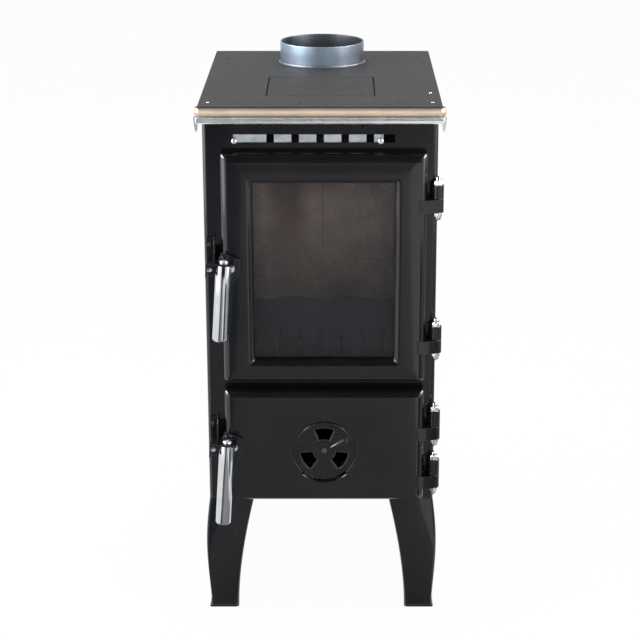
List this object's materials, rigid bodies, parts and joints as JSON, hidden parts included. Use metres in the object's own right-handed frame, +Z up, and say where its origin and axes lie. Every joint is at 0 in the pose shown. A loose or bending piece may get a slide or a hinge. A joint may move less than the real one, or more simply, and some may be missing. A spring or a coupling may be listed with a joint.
{
  "type": "wood_stove",
  "caption": "Small solid-fuel cooking stove on curved sheet-metal legs, with a glazed fire door, an ash door with a rotary air valve, a sliding air grille and a flue collar.",
  "frame": {"origin": "On the floor, under the middle of the overall bounding box; the casing, the plate and the legs are centred on X = 0.", "axes": "+X is to the right when facing the doors, +Y goes from the front to the back and +Z is up."},
  "size_m": [0.352, 0.4845, 0.802],
  "materials": {
    "enamel": "satin",
    "black_steel": "satin",
    "plate_iron": "matte",
    "cast_parts": "matte",
    "bare_steel": "satin",
    "polished_trim": "gloss",
    "chrome_parts": "gloss",
    "firebrick": "matte",
    "rope_seal": "matte",
    "fire_glass": "gloss"
  },
  "bodies": {
    "stove_body": {"casing": "enamel", "back_panel": "black_steel", "base_plate": "black_steel", "cooking_plate": "plate_iron", "lid_ledge": "cast_parts", "flue_collar": "bare_steel", "edge_trim": "polished_trim", "towel_rail": "chrome_parts", "rail_brackets": "chrome_parts", "plate_screws": "bare_steel", "air_grille": "cast_parts", "front_frame": "cast_parts", "firebox_shell": "cast_parts", "firebrick_left": "firebrick", "firebrick_right": "firebrick", "firebrick_back": "firebrick", "grate_tray": "cast_parts", "grate": "cast_parts", "log_retainer": "cast_parts", "smoke_baffle": "cast_parts", "ash_pan": "bare_steel", "ash_pan_pull": "chrome_parts", "leg_front_left": "black_steel", "leg_front_right": "black_steel", "leg_rear_left": "black_steel", "leg_rear_right": "black_steel", "leg_bolts": "bare_steel", "fire_catch": "black_steel", "ash_catch": "black_steel", "catch_screws": "bare_steel", "back_screws": "bare_steel", "hinge_brackets": "black_steel", "hinge_pins": "bare_steel", "hinge_nuts": "chrome_parts"},
    "lid": {"cooking_lid": "plate_iron"},
    "air_slide": {"air_slider": "bare_steel", "slider_knobs": "chrome_parts"},
    "fire_door": {"fire_door_panel": "enamel", "fire_glass": "fire_glass", "glass_gasket": "rope_seal", "glass_clips": "bare_steel", "clip_screws": "bare_steel", "fire_seal_channel": "black_steel", "fire_door_seal": "rope_seal", "fire_door_lugs": "black_steel", "fire_latch_pivot": "bare_steel"},
    "fire_latch": {"fire_latch_lever": "black_steel", "fire_grip": "chrome_parts", "fire_grip_bolts": "chrome_parts"},
    "ash_door": {"ash_door_panel": "enamel", "ash_seal_channel": "black_steel", "ash_door_seal": "rope_seal", "ash_door_lugs": "black_steel", "ash_latch_pivot": "bare_steel", "valve_rivet": "chrome_parts"},
    "air_disc": {"air_valve": "black_steel"},
    "ash_latch": {"ash_latch_lever": "black_steel", "ash_grip": "chrome_parts", "ash_grip_bolts": "chrome_parts"}
  },
  "joints": [
    {"name": "fire_door_swing", "type": "hinge", "parent": "stove_body", "child": "fire_door", "pos_m": [0.1655, -0.20175, 0.5355], "axis": [0, 0, 1], "range_deg": [0, 115]},
    {"name": "ash_door_swing", "type": "hinge", "parent": "stove_body", "child": "ash_door", "pos_m": [0.1655, -0.20175, 0.268], "axis": [0, 0, 1], "range_deg": [0, 115]},
    {"name": "fire_latch_turn", "type": "hinge", "parent": "fire_door", "child": "fire_latch", "pos_m": [-0.1265, -0.21525, 0.54], "axis": [0, 1, 0], "range_deg": [0, 80]},
    {"name": "ash_latch_turn", "type": "hinge", "parent": "ash_door", "child": "ash_latch", "pos_m": [-0.1265, -0.21525, 0.269], "axis": [0, 1, 0], "range_deg": [0, 80]},
    {"name": "air_valve_turn", "type": "hinge", "parent": "ash_door", "child": "air_disc", "pos_m": [0.005, -0.21325, 0.262], "axis": [0, -1, 0], "range_deg": [0, 60]},
    {"name": "air_slide_move", "type": "slide", "parent": "stove_body", "child": "air_slide", "axis": [1, 0, 0], "range_m": [0, 0.015]},
    {"name": "lid_lift", "type": "slide", "parent": "stove_body", "child": "lid", "axis": [0, 0, 1], "range_m": [0, 0.08]}
  ]
}
